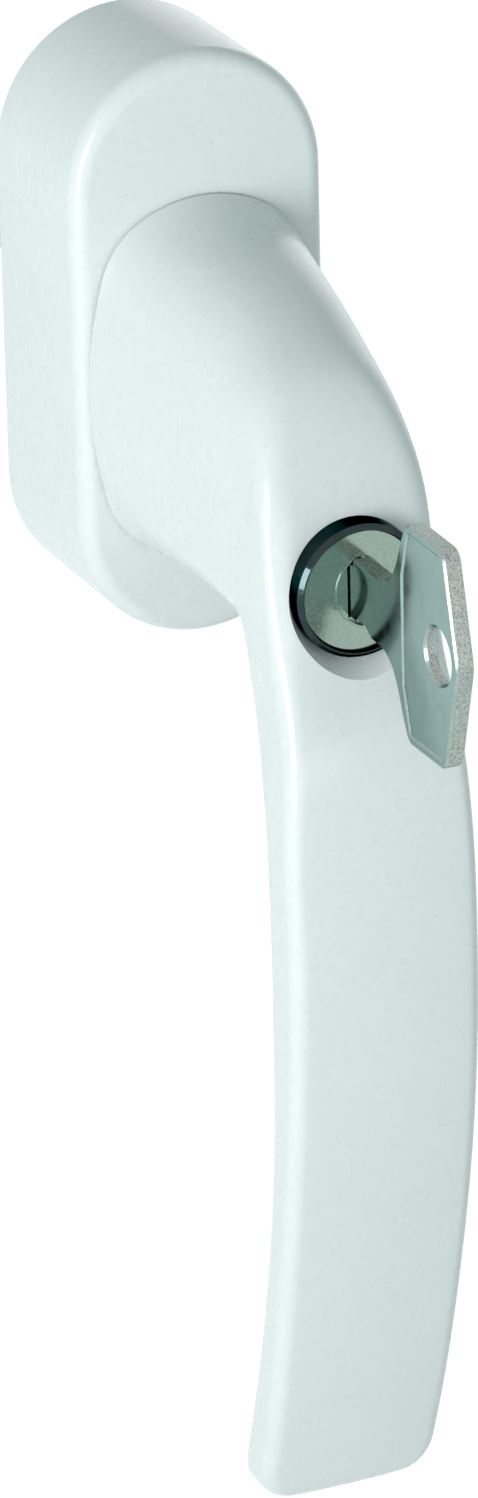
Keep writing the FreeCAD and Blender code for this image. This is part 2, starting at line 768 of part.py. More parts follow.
save("cylinder_plug", make_cylinder_plug())
save("plug_face_disc", make_plug_disc())
save("plug_clip", make_plug_clip())
for index, out_back in enumerate(wafer_places()):
    save("wafer_" + str(index + 1), make_wafer(out_back))
save("wafer_springs", Part.makeCompound([make_wafer_spring(out) for out in wafer_places()]))

save("lock_bolt", make_lock_bolt())
save("bolt_cross_pin", make_cross_pin())
save("key", make_key())
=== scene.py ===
import json
import math

import bmesh
import bpy
import numpy as np
from mathutils import Matrix, Vector


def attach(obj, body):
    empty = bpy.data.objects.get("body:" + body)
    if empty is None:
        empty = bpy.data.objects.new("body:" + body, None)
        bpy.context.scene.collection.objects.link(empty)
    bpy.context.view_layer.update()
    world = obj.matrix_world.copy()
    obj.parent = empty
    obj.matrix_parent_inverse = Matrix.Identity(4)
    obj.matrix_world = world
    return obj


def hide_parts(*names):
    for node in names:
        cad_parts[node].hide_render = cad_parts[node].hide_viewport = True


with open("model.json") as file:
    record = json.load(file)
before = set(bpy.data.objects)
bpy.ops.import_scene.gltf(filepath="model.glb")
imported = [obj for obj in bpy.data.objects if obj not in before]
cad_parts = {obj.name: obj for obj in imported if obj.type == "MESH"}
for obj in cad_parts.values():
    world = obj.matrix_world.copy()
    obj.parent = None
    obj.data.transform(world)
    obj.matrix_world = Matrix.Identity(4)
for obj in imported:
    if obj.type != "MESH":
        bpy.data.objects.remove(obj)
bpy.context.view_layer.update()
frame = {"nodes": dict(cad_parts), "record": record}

# Lengths are written in millimetres and turned into metres where meshes and places are made.
# X runs to the right as the handle is faced, Z runs up, and "out" is the distance from the window,
# so y = -out.
MM = 0.001
rose_width = 30.0
rose_height = 67.6
rose_depth = 21.0
rose_edge = 2.0
rose_wall = 1.8
rose_front_wall = 2.0
rose_back_edge = 0.3
hub_hole_radius = 9.4
neck_base_out = 21.4
handle_length = 125.9
lock_up = -14.65
lock_face_out = 61.35
lock_ring_radius = 7.55
lock_ring_height = 5.2
lock_seat_out = lock_face_out - lock_ring_height
lock_fit = 0.05
lock_hollow_depth = 2.35
lock_hollow_flare = 0.65
bolt_hole_radius = 2.65
bolt_bore_radius = 2.35
housing_end_out = 28.4
housing_bore_radius = 6.05
grub_out = 40.0
grub_radius = 1.5
grub_bore_end = -32.0
hub_radius = 9.0
hub_step_radius = 7.4
hub_groove_radius = 6.7
hub_end_out = 1.2
hub_step_out = 8.8
circlip_out = 2.8
circlip_thickness = 1.1
spindle_half = 3.5
spindle_back_out = -30.0
spindle_front_out = 33.0
spindle_corner = 0.4

# How far a cutter or a joined mesh reaches past the surface that it crosses.
past_surface = 1.0

# Camera: where the photograph was taken from, and what it shows at the origin.
photo_height = 1498
photo_centre = (239.0, 749.0)
origin_pixel = (125.9, 288.4)
focal_pixels = 9000.0
origin_pixels_per_mm = 8.977
view_azimuth = math.radians(24.0)
view_elevation = math.radians(22.85)
view_roll = math.radians(-1.43)
sensor_mm = 36.0


def at(x, out, up):
    """A place in metres, from millimetres across, out from the window and up."""
    return Vector((x * MM, -out * MM, up * MM))


# Node materials

def new_material(name):
    """A new node material, with its nodes, links and shader."""
    material = bpy.data.materials.new(name)
    material.use_nodes = True
    nodes = material.node_tree.nodes
    return material, nodes, material.node_tree.links, nodes["Principled BSDF"]


def noise(nodes, links, scale, detail=4.0, stretch=(1, 1, 1)):
    """Noise fixed to the object's own space, in turns per millimetre, squeezed along any axis."""
    place = nodes.new("ShaderNodeTexCoord")
    mapping = nodes.new("ShaderNodeMapping")
    mapping.inputs["Scale"].default_value = [part * scale / MM for part in stretch]
    texture = nodes.new("ShaderNodeTexNoise")
    texture.inputs["Scale"].default_value = 1.0
    texture.inputs["Detail"].default_value = detail
    links.new(place.outputs["Object"], mapping.inputs["Vector"])
    links.new(mapping.outputs["Vector"], texture.inputs["Vector"])
    return texture.outputs["Fac"]


def spread(nodes, links, value, low, high, low_from=0.3, high_from=0.7):
    """A value stretched from one range to another."""
    node = nodes.new("ShaderNodeMapRange")
    node.inputs["From Min"].default_value = low_from
    node.inputs["From Max"].default_value = high_from
    node.inputs["To Min"].default_value = low
    node.inputs["To Max"].default_value = high
    links.new(value, node.inputs["Value"])
    return node.outputs["Result"]


def ramp(nodes, links, value, stops):
    """A colour that follows a value through stops of (position, colour)."""
    node = nodes.new("ShaderNodeValToRGB")
    elements = node.color_ramp.elements
    while len(elements) < len(stops):
        elements.new(0.5)
    for element, (position, colour) in zip(elements, stops):
        element.position = position
        element.color = (*colour, 1.0)
    links.new(value, node.inputs["Fac"])
    return node.outputs["Color"]


def bump(nodes, links, shader, height, distance_mm, strength):
    """Raises the shader's surface by a height from 0 to 1, times a distance."""
    node = nodes.new("ShaderNodeBump")
    node.inputs["Strength"].default_value = strength
    node.inputs["Distance"].default_value = distance_mm * MM
    links.new(height, node.inputs["Height"])
    links.new(node.outputs["Normal"], shader.inputs["Normal"])


def blend_colours(nodes, links, factor, low, high):
    """The low colour where the factor is 0, the high one where it is 1."""
    node = nodes.new("ShaderNodeMix")
    node.data_type = "RGBA"
    links.new(factor, node.inputs["Factor"])
    links.new(low, node.inputs[6])
    links.new(high, node.inputs[7])
    return node.outputs[2]


def blend_values(nodes, links, factor, low, high):
    """The low value where the factor is 0, the high one where it is 1."""
    node = nodes.new("ShaderNodeMix")
    links.new(factor, node.inputs["Factor"])
    links.new(low, node.inputs[2])
    links.new(high, node.inputs[3])
    return node.outputs[0]


def combine(nodes, links, operation, *values):
    """The result of one Math node on values that are links or plain numbers."""
    node = nodes.new("ShaderNodeMath")
    node.operation = operation
    for socket, value in zip(node.inputs, values):
        if isinstance(value, float):
            socket.default_value = value
        else:
            links.new(value, socket)
    return node.outputs[0]


def powder_coat():
    """Glossy white powder coat: a faint orange peel and the least change of tone."""
    material, nodes, links, shader = new_material("white_powder_coat")
    drift = noise(nodes, links, 0.05, detail=2.0)
    tone = ramp(nodes, links, drift, [(0.35, (0.80, 0.832, 0.826)), (0.65, (0.815, 0.845, 0.84))])
    links.new(tone, shader.inputs["Base Color"])
    fine = noise(nodes, links, 0.45, detail=1.0)
    links.new(spread(nodes, links, fine, 0.26, 0.30), shader.inputs["Roughness"])
    shader.inputs["Specular IOR Level"].default_value = 0.5
    shader.inputs["Coat Weight"].default_value = 0.3
    shader.inputs["Coat Roughness"].default_value = 0.14
    bump(nodes, links, shader, fine, distance_mm=0.004, strength=0.03)
    return material


def metal(name, dark, light, roughness, grain, depth_mm, stretch=(1, 1, 1), rim=(1, 1, 1)):
    """A metal whose tone, roughness and bump follow one grain; rim tints it where seen edge on."""
    material, nodes, links, shader = new_material(name)
    value = noise(nodes, links, grain, detail=5.0, stretch=stretch)
    links.new(ramp(nodes, links, value, [(0.3, dark), (0.7, light)]), shader.inputs["Base Color"])
    links.new(spread(nodes, links, value, roughness[0], roughness[1]), shader.inputs["Roughness"])
    shader.inputs["Metallic"].default_value = 1.0
    shader.inputs["Specular Tint"].default_value = (*rim, 1.0)
    bump(nodes, links, shader, value, distance_mm=depth_mm, strength=0.4)
    return material


def plastic(name, dark, light, roughness):
    """A moulded plastic whose tone, roughness and bump follow one grain."""
    material, nodes, links, shader = new_material(name)
    value = noise(nodes, links, 2.2, detail=3.0)
    links.new(ramp(nodes, links, value, [(0.3, dark), (0.7, light)]), shader.inputs["Base Color"])
    links.new(spread(nodes, links, value, roughness[0], roughness[1]), shader.inputs["Roughness"])
    bump(nodes, links, shader, value, distance_mm=0.02, strength=0.3)
    return material


def stamped_nickel():
    """The key's nickel: smooth on its two broad faces, grainy and paler on its cut edges; the faces'
    dark blue-green tone is partly a painted reflection of a dark room.
    """
    material, nodes, links, shader = new_material("key_nickel")
    place = nodes.new("ShaderNodeTexCoord")
    split = nodes.new("ShaderNodeSeparateXYZ")
    links.new(place.outputs["Normal"], split.inputs["Vector"])
    sideways = combine(nodes, links, "ABSOLUTE", split.outputs["X"])
    on_face = spread(nodes, links, sideways, 0.0, 1.0, low_from=0.5, high_from=0.9)
    grain = noise(nodes, links, 5.0, detail=4.0)
    haze = noise(nodes, links, 0.6, detail=3.0)
    edge_tone = ramp(nodes, links, grain, [(0.35, (0.22, 0.26, 0.24)), (0.65, (0.48, 0.52, 0.48))])
    # Painted reflection: the face tone is darker and bluer than nickel, standing in for the dark
    # blue-green room that the polished faces mirror.
    face_tone_and_painted_reflection = ramp(nodes, links, haze, [(0.3, (0.30, 0.39, 0.375)), (0.7, (0.35, 0.44, 0.425))])
    links.new(blend_colours(nodes, links, on_face, edge_tone, face_tone_and_painted_reflection), shader.inputs["Base Color"])
    edge_roughness = spread(nodes, links, grain, 0.24, 0.36)
    face_roughness = spread(nodes, links, haze, 0.1, 0.16)
    links.new(blend_values(nodes, links, on_face, edge_roughness, face_roughness),
              shader.inputs["Roughness"])
    shader.inputs["Metallic"].default_value = 1.0
    shader.inputs["Specular Tint"].default_value = (0.6, 0.7, 0.7, 1.0)
    calm = spread(nodes, links, on_face, 1.0, 0.08, low_from=0.0, high_from=1.0)
    relief = combine(nodes, links, "MULTIPLY", grain, calm)
    bump(nodes, links, shader, relief, distance_mm=0.05, strength=0.5)
    return material


materials = {
    "white_powder_coat": powder_coat(),
    "white_plastic": plastic("white_plastic", (0.76, 0.79, 0.78), (0.82, 0.84, 0.83), (0.35, 0.5)),
    "dark_plastic": plastic("dark_plastic", (0.035, 0.038, 0.042), (0.055, 0.058, 0.062), (0.4, 0.6)),
    "zinc_steel": metal("zinc_steel", (0.50, 0.52, 0.55), (0.66, 0.67, 0.68), (0.26, 0.42), 0.9, 0.01),
    "hard_steel": metal("hard_steel", (0.40, 0.41, 0.43), (0.52, 0.53, 0.54), (0.2, 0.34), 1.4, 0.006),
    # Painted reflection: the chrome's base tone and edge tint are set nearly black, standing in for the
    # dark room that the polished ring mirrors.
    "polished_chrome": metal("polished_chrome", (0.028, 0.042, 0.044), (0.04, 0.056, 0.058),
                             (0.04, 0.08), 0.8, 0.002, rim=(0.15, 0.2, 0.2)),
    "key_nickel": stamped_nickel(),
    "satin_nickel": metal("satin_nickel", (0.25, 0.32, 0.28), (0.33, 0.40, 0.35), (0.12, 0.2), 3.0,
                          0.006, rim=(0.5, 0.6, 0.6)),
    "lock_brass": metal("lock_brass", (0.55, 0.40, 0.17), (0.66, 0.50, 0.24), (0.22, 0.36), 1.6,
                        0.008, stretch=(1, 0.2, 1)),
}


# Meshes

bevel_angle = math.radians(35.0)


def closed_mesh(name, points, faces):
    """A mesh from points and faces, with every face turned outwards."""
    mesh = bpy.data.meshes.new(name)
    mesh.from_pydata([tuple(point) for point in points], [], faces)
    edit = bmesh.new()
    edit.from_mesh(mesh)
    bmesh.ops.recalc_face_normals(edit, faces=edit.faces)
    edit.to_mesh(mesh)
    edit.free()
    return mesh


def smooth_mesh(name, points, faces, body, slot, replaces, sharp_degrees=32.0):
    """A new piece with smooth shading that keeps its sharp edges."""
    mesh = closed_mesh(name, points, faces)
    piece = bpy.data.objects.new(name, mesh)
    bpy.context.scene.collection.objects.link(piece)
    mesh.shade_smooth()
    mesh.set_sharp_from_angle(angle=math.radians(sharp_degrees))
    mesh.materials.append(materials[slot])
    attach(piece, body)
    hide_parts(*replaces)
    return piece


def rings_to_faces(rings, count, closed_along=False):
    """Quads between rings of equally many points, with a flat face on each end of an open row."""
    faces = []
    steps = rings if closed_along else rings - 1
    for ring in range(steps):
        low = ring * count
        high = ((ring + 1) % rings) * count
        for index in range(count):
            following = (index + 1) % count
            faces.append((low + index, low + following, high + following, high + index))
    if not closed_along:
        faces.append(tuple(reversed(range(count))))
        faces.append(tuple(range((rings - 1) * count, rings * count)))
    return faces


def apply_modifiers(piece):
    """Gives a piece the mesh that its modifiers make, and removes them."""
    piece_now = piece.evaluated_get(bpy.context.evaluated_depsgraph_get())
    result = bpy.data.meshes.new_from_object(piece_now)
    piece.modifiers.clear()
    piece.data = result


def combine_mesh(piece, mesh, operation):
    """Joins a closed mesh to a piece or takes it away, and keeps the piece's own materials."""
    other = bpy.data.objects.new("other", mesh)
    bpy.context.scene.collection.objects.link(other)
    modifier = piece.modifiers.new("combine", "BOOLEAN")
    modifier.operation = operation
    modifier.solver = "EXACT"
    modifier.object = other
    apply_modifiers(piece)
    bpy.data.objects.remove(other)


def cut_away(piece, mesh):
    """Takes a closed mesh away from a piece."""
    combine_mesh(piece, mesh, "DIFFERENCE")


def add_mesh(piece, mesh):
    """Joins a closed mesh to a piece."""
    combine_mesh(piece, mesh, "UNION")


def bevel(piece, width_mm, segments=2):
    """Rounds a piece's sharp edges."""
    modifier = piece.modifiers.new("bevel", "BEVEL")
    modifier.width = width_mm * MM
    modifier.segments = segments
    modifier.limit_method = "ANGLE"
    modifier.angle_limit = bevel_angle
    modifier.harden_normals = True


def circle(radius, steps):
    """Points round a circle, as (across, up from its middle)."""
    angles = [2 * math.pi * step / steps for step in range(steps)]
    return [(radius * math.cos(angle), radius * math.sin(angle)) for angle in angles]


def rectangle(half_width, half_height):
    """The corners of an upright rectangle, as (across, up from its middle)."""
    return [(-half_width, -half_height), (half_width, -half_height), (half_width, half_height),
            (-half_width, half_height)]


def prism_mesh(name, outline, out_from, out_to, up=lock_up):
    """A closed prism along the outward axis over an outline about that axis."""
    points = [at(x, out, up + rise) for out in (out_from, out_to) for x, rise in outline]
    return closed_mesh(name, points, rings_to_faces(2, len(outline)))


def turned_form(profile, steps, up):
    """Points and faces of a solid turned about the outward axis from a profile of (radius, out).

    A radius of zero closes the profile at the axis.
    """
    points = [at(x, out, up + rise) for radius, out in profile if radius > 0
              for x, rise in circle(radius, steps)]
    hollow = profile[0][0] > 0 and profile[-1][0] > 0
    return points, rings_to_faces(len(points) // steps, steps, closed_along=hollow)


def turned_mesh(name, profile, steps, up=lock_up):
    """A closed turned mesh that cuts a piece or joins it."""
    return closed_mesh(name, *turned_form(profile, steps, up))


def turned_piece(name, profile, steps, body, slot, replaces, sharp_degrees=32.0):
    """A new piece turned about the lock's axis."""
    points, faces = turned_form(profile, steps, lock_up)
    return smooth_mesh(name, points, faces, body, slot, replaces, sharp_degrees)


def quarter_round(radius_from, out_from, across, along, steps=4):
    """Points of a quarter circle that starts along the profile and ends across it."""
    points = []
    for step in range(steps + 1):
        turn = math.pi / 2 * step / steps
        points.append((radius_from + across * (1 - math.cos(turn)), out_from + along * math.sin(turn)))
    return points


# Handle body: sections of eight tangent arcs, joined by a smooth spline down the neck and grip

neck_top = 17.6
neck_bottom = -24.0
neck_half_width = 13.9
grip_half_width = 11.35
grip_widest = 0.35
grip_narrowing = 1.6
grip_front_edge = 1.9
grip_back_edge = 3.6
grip_start = 41.0
grip_end_corner = 4.8
grip_end_edge = 2.0
grip_end_slope = 0.35
grip_end_degrees = (6, 12, 20, 30, 39, 48, 56, 64, 71, 78, 84, 90)
grip_front_crown = 120
grip_back_crown = 70
grip_side_crown = 200
ring_spacing = 0.9


def grip_station(share, front_out, back_out):
    """A station on the grip, at a share of the way from its start to its rounded end."""
    up = -grip_start - share * (handle_length - grip_end_corner - grip_start)
    half_width = grip_half_width - grip_narrowing * (share - grip_widest) ** 2
    return ((front_out, up), (back_out, up), half_width, grip_front_crown, grip_back_crown,
            grip_side_crown, grip_front_edge, grip_back_edge)


# Each station has its front point and back point as (out from the neck's base, up), then the half
# width, the crown radii of front, back and sides, and the edge radii of front and back.
neck_stations = [
    ((0.0, neck_top), (0.0, neck_bottom), neck_half_width, 15, 15, 45, 10, 10),
    ((9.1, 15.3), (9.0, -23.5), 12.6, 15, 15, 45, 10, 10),
    ((18.1, 12.75), (16.8, -23.5), 11.5, 15, 15, 45, 9.5, 9.5),
    ((26.1, 9.25), (23.1, -23.9), 10.7, 16, 14, 50, 8.5, 9),
    ((30.75, 6.2), (26.3, -25.1), 10.2, 22, 14, 60, 6.5, 9),
    ((33.3, 2.8), (28.0, -26.2), 10.1, 34, 14, 80, 5.2, 8.5),
    ((35.4, -1.5), (29.25, -27.5), 10.2, 60, 15, 100, 4.2, 8),
    ((37.6, -11.0), (30.5, -30.5), 10.15, 85, 20, 130, 3.4, 6.5),
    ((39.6, -21.0), (31.5, -33.7), 10.15, 100, 30, 150, 2.7, 5),
    ((43.25, -31.0), (32.75, -37.35), 10.6, 120, 45, 200, 2.2, 4.2),
]
grip_outs = [(44.45, 34.8), (45.15, 35.7), (44.95, 35.9), (44.0, 35.6), (42.25, 34.3),
             (39.8, 31.95), (36.85, 28.7), (33.15, 24.7)]
stations = neck_stations + [grip_station(index / (len(grip_outs) - 1), *outs)
                            for index, outs in enumerate(grip_outs)]
grip_end_half_width = stations[-1][2]


def natural_spline(places, values, wanted):
    """A natural cubic spline through values at places, read at the wanted places."""
    steps = np.diff(places)
    slopes = np.diff(values, axis=0) / steps[:, None]
    size = len(places)
    system = np.eye(size)
    right = np.zeros_like(values)
    for row in range(1, size - 1):
        system[row, row - 1] = steps[row - 1]
        system[row, row] = 2 * (steps[row - 1] + steps[row])
        system[row, row + 1] = steps[row]
        right[row] = 6 * (slopes[row] - slopes[row - 1])
    bends = np.linalg.solve(system, right)
    result = []
    for place in wanted:
        index = min(max(np.searchsorted(places, place) - 1, 0), size - 2)
        step = steps[index]
        after = (place - places[index]) / step
        before = 1 - after
        straight = before * values[index] + after * values[index + 1]
        bent = ((before ** 3 - before) * bends[index] + (after ** 3 - after) * bends[index + 1])
        result.append(straight + bent * step ** 2 / 6)
    return np.array(result)


def circle_crossing(centre_a, radius_a, centre_b, radius_b):
    """Where two circles cross, on the outer side of both."""
    offset = centre_b - centre_a
    apart = np.linalg.norm(offset)
    along = (radius_a ** 2 - radius_b ** 2 + apart ** 2) / (2 * apart)
    height = math.sqrt(radius_a ** 2 - along ** 2)
    base = centre_a + offset * along / apart
    side = np.array([offset[1], -offset[0]]) / apart
    return max((base + side * height, base - side * height), key=lambda point: point.sum())


def arc_samples(centre, radius, start, end, count):
    """Points on a circle from one point towards another, leaving out the last."""
    first = math.atan2(start[1] - centre[1], start[0] - centre[0])
    last = math.atan2(end[1] - centre[1], end[0] - centre[0])
    turn = (last - first + math.pi) % (2 * math.pi) - math.pi
    angles = [first + turn * step / count for step in range(count)]
    return [(centre[0] + radius * math.cos(angle), centre[1] + radius * math.sin(angle))
            for angle in angles]


def quarter_outline(half_width, half_depth, crown, side_crown, edge):
    """Crown centre, corner centre, side centre and the two points where the arcs meet."""
    face_centre = np.array([0.0, half_depth - crown])
    side_centre = np.array([half_width - side_crown, 0.0])
    corner = circle_crossing(face_centre, crown - edge, side_centre, side_crown - edge)
    on_face = face_centre + (corner - face_centre) * crown / np.linalg.norm(corner - face_centre)
    on_side = side_centre + (corner - side_centre) * side_crown / np.linalg.norm(corner - side_centre)
    return face_centre, corner, side_centre, on_face, on_side


side_points = 10
corner_points = 10
crown_points = 20


def section_outline(half_depth, half_width, front_crown, back_crown, side_crown, front_edge, back_edge):
    """Points round one section, as (across, towards the front)."""
    face, corner, side, on_face, on_side = quarter_outline(
        half_width, half_depth, front_crown, side_crown, front_edge)
    rear_face, rear_corner, _, on_rear, on_rear_side = quarter_outline(
        half_width, half_depth, back_crown, side_crown, back_edge)
    down = np.array([1, -1])
    across = np.array([-1, 1])
    points = arc_samples(side, side_crown, on_rear_side * down, on_side, side_points)
    points += arc_samples(corner, front_edge, on_side, on_face, corner_points)
    points += arc_samples(face, front_crown, on_face, on_face * across, crown_points)
    points += arc_samples(corner * across, front_edge, on_face * across, on_side * across,
                          corner_points)
    points += arc_samples(side * across, side_crown, on_side * across, -on_rear_side, side_points)
    points += arc_samples(-rear_corner, back_edge, -on_rear_side, -on_rear, corner_points)
    points += arc_samples(rear_face * down, back_crown, -on_rear, on_rear * down, crown_points)
    points += arc_samples(rear_corner * down, back_edge, on_rear * down, on_rear_side * down,
                          corner_points)
    return points


def station_section(front, back, half_width, *radii):
    """A station's section as points of (across, out, up), square to the line from back to front."""
    front = np.array(front)
    back = np.array(back)
    half_depth = np.linalg.norm(front - back) / 2
    centre = (front + back) / 2
    lean = (front - centre) / half_depth
    return [(across, neck_base_out + centre[0] + forward * lean[0], centre[1] + forward * lean[1])
            for across, forward in section_outline(half_depth, half_width, *radii)]


def end_sections(last):
    """The last section, moved down and drawn in, so that the grip's end is rounded all round."""
    centre_out = neck_base_out + sum(grip_outs[-1]) / 2
    half_depth = (grip_outs[-1][0] - grip_outs[-1][1]) / 2
    sections = []
    for degrees in grip_end_degrees:
        turn = math.radians(degrees)
        drop = grip_end_corner * math.sin(turn)
        narrow = 1 - grip_end_corner * (1 - math.cos(turn)) / grip_end_half_width
        past_edge = max(drop - grip_end_corner + grip_end_edge, 0.0)
        thin = 1 - (grip_end_edge - math.sqrt(grip_end_edge ** 2 - past_edge ** 2)) / half_depth
        section = last.copy()
        section[:, 0] *= narrow
        section[:, 1] = centre_out + (last[:, 1] - centre_out) * thin - drop * grip_end_slope
        section[:, 2] -= drop
        sections.append(section)
    return sections


def handle_rings():
    """Closely spaced rings of (across, out, up) along the neck and grip, through every section."""
    sections = [np.array(station_section(*station)) for station in stations]
    sections += end_sections(sections[-1])
    places = [0.0]
    for before, after in zip(sections, sections[1:]):
        places.append(places[-1] + np.linalg.norm(after - before, axis=1).mean())
    wanted = np.linspace(0, places[-1], int(places[-1] / ring_spacing))
    flat = np.array(sections).reshape(len(sections), -1)
    rings = natural_spline(np.array(places), flat, wanted)
    return rings.reshape(len(wanted), -1, 3)


def lock_bore():
    """The stepped bore for bolt, barrel and ring, which widens into the hollow round the ring."""
    radius = lock_ring_radius + lock_fit
    hollow_out = lock_face_out - lock_hollow_depth
    end_out = lock_face_out + lock_ring_radius
    rim = radius + lock_hollow_flare * (end_out - hollow_out)
    start_out = neck_base_out - past_surface
    profile = [(0.0, start_out), (bolt_bore_radius, start_out),
               (bolt_bore_radius, housing_end_out), (housing_bore_radius, housing_end_out),
               (housing_bore_radius, lock_seat_out), (radius, lock_seat_out), (radius, hollow_out),
               (rim, end_out), (0.0, end_out)]
    return turned_mesh("lock_bore", profile, steps=96)


def upright_rod(name, radius, out, up_from, up_to, steps=32):
    """A closed upright rod at a distance from the window."""
    points = [at(x, out + along, up) for up in (up_from, up_to) for x, along in circle(radius, steps)]
    return closed_mesh(name, points, rings_to_faces(2, steps))


def make_handle():
    """The cast neck and grip with its hub, bored for the lock, the spindle and the grub screw."""
    rings = handle_rings()
    points = [at(*point) for ring in rings for point in ring]
    shell = smooth_mesh("handle_shell", points, rings_to_faces(len(rings), len(rings[0])), "handle",
                        "white_powder_coat", ("handle_body",))
    inside_neck = neck_base_out + past_surface
    hub = [(0.0, hub_end_out), (hub_step_radius, hub_end_out), (hub_step_radius, circlip_out),
           (hub_groove_radius, circlip_out), (hub_groove_radius, circlip_out + circlip_thickness),
           (hub_step_radius, circlip_out + circlip_thickness), (hub_step_radius, hub_step_out),
           (hub_radius, hub_step_out), (hub_radius, inside_neck), (0.0, inside_neck)]
    add_mesh(shell, turned_mesh("hub", hub, steps=64, up=0.0))
    cut_away(shell, lock_bore())
    half = spindle_half + lock_fit
    cut_away(shell, prism_mesh("spindle_bore", rectangle(half, half), 0.0, spindle_front_out, 0.0))
    cut_away(shell, upright_rod("grub_bore", grub_radius, grub_out, lock_up, grub_bore_end))


def stadium_outline(width, height, count_per_end, margin):
    """Points round an upright outline with half-circle ends, a margin inside its full size."""
    radius = width / 2 - margin
    straight = height / 2 - width / 2
    points = []
    for end in (1, -1):
        for step in range(count_per_end + 1):
            angle = math.pi * step / count_per_end + (0 if end == 1 else math.pi)
            points.append((radius * math.cos(angle), end * straight + radius * math.sin(angle)))
    return points


def make_rose():
    """The hollow rose: outside wall, rounded front edge, inside, and the holes for hub and bolt."""
    arc_steps = 8
    per_end = 40
    profile = [(rose_wall, 0.0), (rose_back_edge, 0.0), (0.0, rose_back_edge)]
    for step in range(arc_steps + 1):
        turn = math.pi / 2 * step / arc_steps
        profile.append((rose_edge * (1 - math.cos(turn)),
                        rose_depth - rose_edge * (1 - math.sin(turn))))
    rings = [[at(x, out, up) for x, up in stadium_outline(rose_width, rose_height, per_end, margin)]
             for margin, out in profile]
    count = len(rings[0])
    hole = []
    for x, up in stadium_outline(rose_width, rose_height, per_end, rose_edge):
        angle = math.atan2(up, x)
        hole.append((hub_hole_radius * math.cos(angle), hub_hole_radius * math.sin(angle)))
    inner_out = rose_depth - rose_front_wall
    rings.append([at(x, rose_depth, up) for x, up in hole])
    rings.append([at(x, inner_out, up) for x, up in hole])
    rings.append([at(x, inner_out, up)
                  for x, up in stadium_outline(rose_width, rose_height, per_end, rose_wall)])
    points = [point for ring in rings for point in ring]
    faces = rings_to_faces(len(rings), count, closed_along=True)
    shell = smooth_mesh("rose_shell", points, faces, "rose", "white_powder_coat", ("rose_cover",))
    outline = circle(bolt_hole_radius, steps=48)
    for side in (1, -1):
        cut_away(shell, prism_mesh("bolt_hole", outline, inner_out - past_surface,
                                   rose_depth + past_surface, side * lock_up))


# Lock

plug_disc_recess = 0.65
disc_front_out = lock_face_out - plug_disc_recess
plug_disc_thickness = 1.2
plug_disc_radius = 6.85
lock_ring_wall = 0.65
lock_ring_chamfer = 0.5
lock_ring_edge = 0.06
lock_ring_steps = 160
plug_disc_chamfer = 0.12
plug_disc_edge = 0.08
plug_disc_steps = 96
keyhole_lens_radius = 4.3
keyhole_lens_half_width = 2.8
keyhole_lens_depth = 0.7
keyhole_lip = 0.22
keyway_half_width = 1.2
keyway_half_height = 3.15


def make_lock_ring():
    """The polished ring: an outer wall, a broad chamfer and a narrow inner lip, all with fine edges."""
    inner = lock_ring_radius - lock_ring_wall
    profile = [(inner, lock_seat_out), (lock_ring_radius, lock_seat_out),
               (lock_ring_radius, lock_face_out - lock_ring_chamfer),
               (lock_ring_radius - lock_ring_chamfer, lock_face_out), (inner, lock_face_out)]
    ring = turned_piece("lock_ring_polished", profile, lock_ring_steps, "handle", "polished_chrome",
                        ("lock_ring",), sharp_degrees=28.0)
    bevel(ring, lock_ring_edge, segments=3)


def lens_points(radius, half_width, steps=24):
    """An upright lens: two arcs that meet above and below, as (across, up from the lock's axis)."""
    offset = radius - half_width
    reach = math.acos(offset / radius)
    points = []
    for side in (1, -1):
        for step in range(steps):
            angle = -reach + 2 * reach * step / steps
            points.append((side * (radius * math.cos(angle) - offset),
                           side * radius * math.sin(angle)))
    return points


def make_plug_disc():
    """The satin disc, with a lens-shaped hollow in a fine raised lip round the keyway."""
    back = disc_front_out - plug_disc_thickness
    lens_floor = disc_front_out - keyhole_lens_depth
    in_front = disc_front_out + past_surface
    profile = [(0.0, back), (plug_disc_radius, back),
               (plug_disc_radius, disc_front_out - plug_disc_chamfer),
               (plug_disc_radius - plug_disc_chamfer, disc_front_out), (0.0, disc_front_out)]
    disc = turned_piece("plug_disc_satin", profile, plug_disc_steps, "plug", "satin_nickel",
                        ("plug_face_disc",))
    lip = lens_points(keyhole_lens_radius + keyhole_lip, keyhole_lens_half_width + keyhole_lip)
    add_mesh(disc, prism_mesh("lens_lip", lip, lens_floor, disc_front_out + keyhole_lip))
    lens = lens_points(keyhole_lens_radius, keyhole_lens_half_width)
    cut_away(disc, prism_mesh("lens_cutter", lens, lens_floor, in_front))
    keyway = rectangle(keyway_half_width, keyway_half_height)
    cut_away(disc, prism_mesh("keyway_cutter", keyway, back - past_surface, in_front))
    bevel(disc, plug_disc_edge)


# Key

key_thickness = 2.1
key_blade_half = 3.0
key_neck_half = 3.9
key_bow_half = 12.5
key_bow_end_half = 12.4
key_tip = 44.4 - lock_face_out
key_tip_slope = 0.7
key_shoulder = 0.3 - plug_disc_recess
key_lower_shoulder = 2.5
key_lower_neck = 4.0
key_bow_start = 11.55
key_bow_chamfer = 1.3
key_bow_corner = 21.85
key_bow_tip = 25.05
key_ring_hole = 19.9
key_ring_hole_radius = 3.1
key_ring_hole_edge = 0.3
key_chamfer = 0.22
key_shoulder_round = 0.25
key_step_round = 1.0
key_end_round = 5.0
key_field_margin = 0.8
key_field_depth = 0.2
key_field_slope = 0.25
key_field_left = 11.5
key_field_left_half = 6.25
key_field_left_round = 0.4
key_field_diagonal_gap = 0.3
key_field_diagonal_round = 0.8
key_field_corner_gap = 0.25
key_field_corner_round = 0.6
key_field_end_round = 4.0
key_groove_side = 0.45
key_groove_stop = 1.5
key_groove_half = 0.5
key_groove_depth = 0.5
key_cut_depths = (0.8, 1.4, 0.5, 1.1, 0.7)
wafer_first_middle = 58.16 - lock_face_out
wafer_pitch = 2.68
almost_straight = math.radians(89.0)

